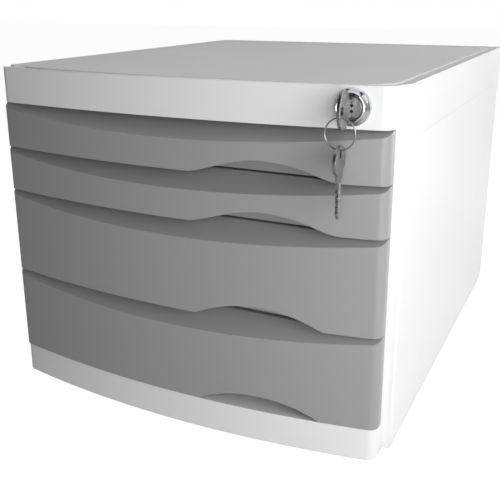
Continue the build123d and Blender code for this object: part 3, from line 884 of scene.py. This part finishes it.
@dataclass
class CamLock:
    """The cam lock in the header: bezel and barrel, plug with keyway, and the works behind."""

    x: float = 121.5
    z: float = 228.5
    bezel_radius: float = 11.0
    bezel_front: float = -170.6
    seat_y: float = -164.5
    barrel_radius: float = 8.4
    barrel_rear: float = -141.0
    bore: float = 7.06
    plug_radius: float = 7.0
    plug_face: float = -170.1
    plug_rear: float = -139.0
    tail_radius: float = 4.0
    keyway: tuple[float, float] = (2.0, 6.2)
    keyway_rear: float = -146.2
    ward_places: tuple[float, ...] = (-1.9, 1.5)
    ward_reach: float = 1.9
    ward_half: float = 0.65

    def housing(self) -> bpy.types.Object:
        """Turns the bezel and barrel.

        Returns:
            The housing.
        """
        front, seat = self.bezel_front, self.seat_y
        profile = [
            (self.bore, self.barrel_rear),
            (self.barrel_radius, self.barrel_rear),
            (self.barrel_radius, seat),
            (self.bezel_radius, seat),
            (self.bezel_radius, seat - 2.6),
            (self.bezel_radius - 0.35, seat - 3.3),
            (self.bezel_radius - 1.1, seat - 3.9),
            (8.7, front + 0.2),
            (8.2, front),
            (7.85, front + 0.12),
            (7.7, front + 2.4),
            (self.bore, front + 2.5),
        ]
        return spun("lock_bezel", profile, (self.x, 0, self.z))

    def plug(self) -> bpy.types.Object:
        """Turns the plug and cuts its keyway.

        Returns:
            The plug.
        """
        face = self.plug_face
        profile = [
            (0.0, self.plug_rear),
            (self.tail_radius, self.plug_rear),
            (self.tail_radius, self.barrel_rear),
            (self.plug_radius, self.barrel_rear),
            (self.plug_radius, face + 0.5),
            (self.plug_radius - 0.5, face),
            (0.0, face),
        ]
        plug = spun("lock_plug_turned", profile, (self.x, 0, self.z), 64)
        width, tall = self.keyway
        low = (self.x - width / 2, face - 2, self.z - tall / 2)
        combine(plug, slab("keyway", low, (self.x + width / 2, self.keyway_rear, self.z + tall / 2)))
        # wards: the keyway widens to one side above and below its middle
        for z in self.ward_places:
            low = (self.x, face - 2, self.z + z - self.ward_half)
            high = (self.x + self.ward_reach, self.keyway_rear, self.z + z + self.ward_half)
            combine(plug, slab("ward", low, high))
        return plug

    def build(self, wardrobe: Wardrobe) -> None:
        """Models and places the lock's pieces.

        Args:
            wardrobe: the finishes.
        """
        wardrobe.deliver(soften(self.housing(), 0), Slot.CHROME, "casing", ["lock_housing"])
        wardrobe.deliver(soften(self.plug(), 0.12, 2), Slot.NICKEL, "lock_core", ["lock_plug"])
        for node in ("lock_cam", "cam_screw", "lock_bar", "lock_nut"):
            wardrobe.dress_node(node, Slot.STEEL)
        wardrobe.dress_node("lock_bar_guides", Slot.TRAY)


@dataclass
class FlatKey:
    """A stamped cam-lock key: oval bow with a ring hole, neck, and a grooved blade with cuts."""

    thick: float = 1.8
    bow_wide: float = 23.0
    bow_deep: float = 17.0
    neck_long: float = 2.5
    neck_wide: float = 10.0
    blade_tall: float = 6.0
    blade_long: float = 24.0
    hole_radius: float = 2.6
    hole_from_end: float = 4.4
    cuts: tuple[Flat, ...] = ((5.0, 0.9), (8.0, 1.5), (11.0, 0.6), (14.0, 1.3), (17.0, 0.8))
    tip_long: float = 3.0
    tip_half: float = 0.6
    groove_places: tuple[float, ...] = (-0.5, 1.6)
    groove_deep: float = 0.35
    groove_half: float = 0.4

    @property
    def end(self) -> float:
        """Place of the bow's outer end, along the key from the neck's inner end."""
        return -(self.bow_deep + self.neck_long)

    def outline(self) -> list[Point]:
        """Gives the key's outline in the YZ plane, bow at -Y and blade at +Y.

        Returns:
            The closed outline at the lower face.
        """
        radius_y, radius_z = self.bow_deep / 2, self.bow_wide / 2
        middle = self.end + radius_y
        neck = self.neck_wide / 2
        meet = math.asin(neck / radius_z)
        bow: list[Flat] = []
        steps = 40
        for i in range(steps + 1):
            angle = meet + (2 * math.pi - 2 * meet) * i / steps
            bow.append((middle + radius_y * math.cos(angle), radius_z * math.sin(angle)))
        blade = self.blade_tall / 2
        shoulder = [(0.0, -neck), (0.0, -blade)]
        cuts: list[Flat] = []
        for place, depth in self.cuts:
            cuts += [(place - 1.2, -blade), (place - 0.4, -blade + depth)]
            cuts += [(place + 0.4, -blade + depth), (place + 1.2, -blade)]
        end, start = self.blade_long, self.blade_long - self.tip_long
        tip = [(start, -blade), (end, -self.tip_half), (end, self.tip_half), (start, blade)]
        back = [(0.0, blade), (0.0, neck)]
        return [(-self.thick / 2, y, z) for y, z in bow + shoulder + cuts + tip + back]

    def stamp(self, name: str) -> bpy.types.Object:
        """Models the key with its neck's inner end at the origin.

        Args:
            name: the new object's name.

        Returns:
            The key.
        """
        key = prism(name, self.outline(), (self.thick, 0, 0))
        hole = rod("hole", (0, 0, -5), self.hole_radius, (0, 0, 10), 32)
        edit(hole)
        bpy.ops.transform.rotate(value=math.pi / 2, orient_axis="Y", center_override=(0, 0, 0))
        bpy.ops.transform.translate(value=(0, (self.end + self.hole_from_end) * MM, 0))
        settle(hole)
        combine(key, hole)
        for side in (-1, 1):
            face = side * self.thick / 2
            for z in self.groove_places:
                low = (face - self.groove_deep, 1.0, z - self.groove_half)
                high = (face + self.groove_deep, self.blade_long + 1, z + self.groove_half)
                combine(key, slab("groove", low, high))
        return key


@dataclass
class Keys:
    """The key in the lock, the split ring through its bow and the spare key that hangs from it."""

    x: float = 121.5
    z: float = 228.5
    seat_y: float = -170.5
    ring_radius: float = 8.85
    ring_wire: float = 0.36
    ring_pitch: float = 0.74
    ring_turns: float = 1.96
    ring_z: float = 216.3
    spare_hole_z: float = 205.4
    spare_turn: float = 4.5
    edge_radius: float = 0.22

    def ring(self, centre: Point) -> bpy.types.Object:
        """Coils the split ring, two turns of round wire in a plane square to Y.

        Args:
            centre: the ring's middle, in millimetres.

        Returns:
            The ring.
        """
        deselect()
        bpy.ops.mesh.primitive_circle_add(vertices=12, radius=self.ring_wire * MM, location=(0, 0, 0))
        ring = bpy.context.object
        ring.name = "split_ring"
        edit(ring)
        bpy.ops.transform.translate(value=(self.ring_radius * MM, 0, 0))
        bpy.ops.object.mode_set(mode="OBJECT")
        coil = ring.modifiers.new("coil", "SCREW")
        coil.axis = "Y"
        coil.angle = 2 * math.pi * self.ring_turns
        coil.screw_offset = self.ring_pitch * self.ring_turns * MM
        coil.steps = coil.render_steps = 150
        bpy.ops.object.modifier_apply(modifier=coil.name)
        edit(ring)
        bpy.ops.mesh.select_mode(type="EDGE")
        bpy.ops.mesh.select_all(action="DESELECT")
        bpy.ops.mesh.select_non_manifold(extend=False)
        bpy.ops.mesh.edge_face_add()
        bpy.ops.mesh.select_all(action="SELECT")
        place = (centre[0] * MM, (centre[1] - self.ring_pitch) * MM, centre[2] * MM)
        bpy.ops.transform.translate(value=place)
        return settle(ring)

    def build(self, wardrobe: Wardrobe) -> None:
        """Models both keys and the ring and puts them on the key's body.

        Args:
            wardrobe: the finishes.
        """
        shape = FlatKey()
        key = shape.stamp("key_in_lock_cut")
        edit(key)
        bpy.ops.transform.translate(value=(self.x * MM, self.seat_y * MM, self.z * MM))
        soften(key, self.edge_radius, 2, SEGMENT_DEGREES)
        wardrobe.deliver(key, Slot.NICKEL, "key", ["key_in_lock"])

        hole_y = self.seat_y + shape.end + shape.hole_from_end
        ring = self.ring((self.x, hole_y, self.ring_z))
        soften(ring, 0)
        wardrobe.deliver(ring, Slot.NICKEL, "key")

        spare = FlatKey(bow_wide=22.0, blade_long=22.5).stamp("spare_key_cut")
        edit(spare)
        bpy.ops.transform.translate(value=(0, -(shape.end + shape.hole_from_end) * MM, 0))
        # the bow's end swings up, so that the key hangs from its hole, then the key turns about its length
        turn = -math.radians(self.spare_turn)
        bpy.ops.transform.rotate(value=math.pi / 2, orient_axis="X", center_override=(0, 0, 0))
        bpy.ops.transform.rotate(value=turn, orient_axis="Z", center_override=(0, 0, 0))
        bpy.ops.transform.translate(value=(self.x * MM, hole_y * MM, self.spare_hole_z * MM))
        soften(spare, self.edge_radius, 2, SEGMENT_DEGREES)
        wardrobe.deliver(spare, Slot.NICKEL, "key")


# ------------------------------------------------------------------ studio


@dataclass(frozen=True)
class Lamp:
    """A square soft lamp: place and aim in millimetres, power in watts, side in metres."""

    name: str
    place: Point
    aim: Point
    power: float
    size: float

    def hang(self) -> None:
        """Adds the lamp to the scene."""
        data = bpy.data.lights.new(self.name, "AREA")
        data.energy = self.power
        data.size = self.size
        lamp = bpy.data.objects.new(self.name, data)
        bpy.context.scene.collection.objects.link(lamp)
        lamp.location = Vector(self.place) * MM
        lamp.rotation_euler = (Vector(self.aim) - Vector(self.place)).to_track_quat("-Z", "Y").to_euler()


@dataclass
class Studio:
    """Camera, floor, world and lamps."""

    azimuth: float = 26.383
    elevation: float = 16.523
    roll: float = -0.237
    place: Point = (253.3, -562.3, 289.2)
    focal_px: float = 733.834
    centre_px: Flat = (249.834, 212.895)
    frame_px: float = 500.0
    sensor: float = 36.0
    ambient: float = 0.0
    room_way: Point = (0.3, 0.95, 0.0)
    room_span: Flat = (-0.1, 0.5)
    room_front: float = 0.05
    room_back: float = 0.75
    floor_mirrored: float = 0.25
    floor_size: float = 12.0
    floor_z: float = -0.0002
    floor_colour: str = "#BBBBBB"
    floor_glow: float = 0.97
    lamps: tuple[Lamp, ...] = (
        Lamp("key_light", (620.0, -430.0, 300.0), (60.0, -60.0, 120.0), 1.5, 0.3),
        Lamp("low_light", (520.0, -900.0, 60.0), (60.0, -150.0, 110.0), 2.1, 0.4),
        Lamp("side_light", (700.0, 500.0, 300.0), (150.0, 100.0, 130.0), 4.2, 0.6),
        Lamp("top_light", (100.0, 100.0, 1200.0), (0.0, 0.0, 130.0), 2.4, 1.0),
        Lamp("front_fill", (450.0, -1000.0, 350.0), (0.0, -100.0, 110.0), 2.8, 0.6),
        Lamp("high_light", (900.0, -600.0, 900.0), (0.0, 0.0, 130.0), 2.1, 0.8),
        Lamp("edge_light", (450.0, -380.0, 100.0), (60.0, -160.0, 90.0), 0.22, 0.3),
    )

    def camera(self) -> None:
        """Places the camera at the photograph's viewing angle."""
        az, el, roll = (math.radians(v) for v in (self.azimuth, self.elevation, self.roll))
        back = Vector((math.sin(az) * math.cos(el), -math.cos(az) * math.cos(el), math.sin(el)))
        right = Vector((math.cos(az), math.sin(az), 0.0))
        up = back.cross(right)
        right_rolled = math.cos(roll) * right + math.sin(roll) * up
        up_rolled = -math.sin(roll) * right + math.cos(roll) * up
        data = bpy.data.cameras.new("camera")
        data.sensor_width = self.sensor
        data.lens = self.focal_px * self.sensor / self.frame_px
        data.shift_x = (self.frame_px / 2 - self.centre_px[0]) / self.frame_px
        data.shift_y = (self.centre_px[1] - self.frame_px / 2) / self.frame_px
        data.clip_start = 0.01
        camera = bpy.data.objects.new("camera", data)
        bpy.context.scene.collection.objects.link(camera)
        turn = Matrix((right_rolled, up_rolled, back)).transposed().to_4x4()
        camera.matrix_world = Matrix.Translation(Vector(self.place) * MM) @ turn
        bpy.context.scene.camera = camera

    def floor(self) -> None:
        """Lays a pale floor that glows white to the camera and faintly in reflections."""
        deselect()
        bpy.ops.mesh.primitive_plane_add(size=self.floor_size, location=(0, 0, self.floor_z))
        floor = bpy.context.object
        floor.name = "studio_floor"
        material = bpy.data.materials.new("pale_floor")
        material.use_nodes = True
        tree = material.node_tree
        tree.nodes.clear()
        path = add_node(tree, "ShaderNodeLightPath").outputs
        reflected = add_node(
            tree, "ShaderNodeMath", {0: path["Is Glossy Ray"], 1: self.floor_mirrored}, operation="MULTIPLY"
        ).outputs[0]
        seen = add_node(
            tree, "ShaderNodeMath", {0: path["Is Camera Ray"], 1: reflected}, operation="MAXIMUM"
        ).outputs[0]
        matt = add_node(tree, "ShaderNodeBsdfDiffuse", {"Color": linear(self.floor_colour)}).outputs[0]
        white = {"Color": linear("#FFFFFF"), "Strength": self.floor_glow}
        glow = add_node(tree, "ShaderNodeEmission", white).outputs[0]
        both = add_node(tree, "ShaderNodeAddShader", {0: matt, 1: glow}).outputs[0]
        shown = add_node(tree, "ShaderNodeMixShader", {0: seen, 1: matt, 2: both}).outputs[0]
        add_node(tree, "ShaderNodeOutputMaterial", {"Surface": shown})
        floor.data.materials.append(material)

    def world(self) -> None:
        """Sets a plain world: white to the camera, a graded room to reflections, and no light of its own."""
        world = bpy.data.worlds.new("studio")
        bpy.context.scene.world = world
        world.use_nodes = True
        tree = world.node_tree
        tree.nodes.clear()
        path = add_node(tree, "ShaderNodeLightPath").outputs
        way = add_node(tree, "ShaderNodeTexCoord").outputs["Generated"]
        # reflections see a bright wall behind the object and a dim room elsewhere
        depth = add_node(
            tree, "ShaderNodeVectorMath", {0: way, 1: self.room_way}, operation="DOT_PRODUCT"
        ).outputs["Value"]
        room = add_node(
            tree,
            "ShaderNodeMapRange",
            {
                "Value": depth,
                "From Min": self.room_span[0],
                "From Max": self.room_span[1],
                "To Min": self.room_front,
                "To Max": self.room_back,
            },
            interpolation_type="SMOOTHSTEP",
        ).outputs["Result"]
        switch = {"Value": path["Is Glossy Ray"], "To Min": self.ambient, "To Max": room}
        light = add_node(tree, "ShaderNodeMapRange", switch).outputs["Result"]
        strength = add_node(
            tree, "ShaderNodeMath", {0: light, 1: path["Is Camera Ray"]}, operation="MAXIMUM"
        ).outputs[0]
        white = {"Color": linear("#FFFFFF"), "Strength": strength}
        sky = add_node(tree, "ShaderNodeBackground", white).outputs[0]
        add_node(tree, "ShaderNodeOutputWorld", {"Surface": sky})

    def build(self) -> None:
        """Sets up the whole studio."""
        self.camera()
        self.floor()
        self.world()
        for lamp in self.lamps:
            lamp.hang()
        bpy.context.scene.view_settings.view_transform = "Standard"


def main() -> None:
    """Builds every sub-assembly in order."""
    logging.basicConfig(level=logging.INFO, format="%(name)s: %(message)s")
    bpy.context.preferences.edit.use_global_undo = False
    Studio().build()
    wardrobe = Wardrobe()
    Casing().build(wardrobe)
    for number, bottom in ((1, 183.55), (2, 151.2)):
        Drawer(number, bottom, 32.35, arch=Arch.WAVE).build(wardrobe)
    for number, bottom in ((3, 87.7), (4, 24.2)):
        Drawer(number, bottom, 63.5, arch=Arch.ROUND).build(wardrobe)
    CamLock().build(wardrobe)
    Keys().build(wardrobe)
    deselect()


if __name__ == "__main__":
    main()
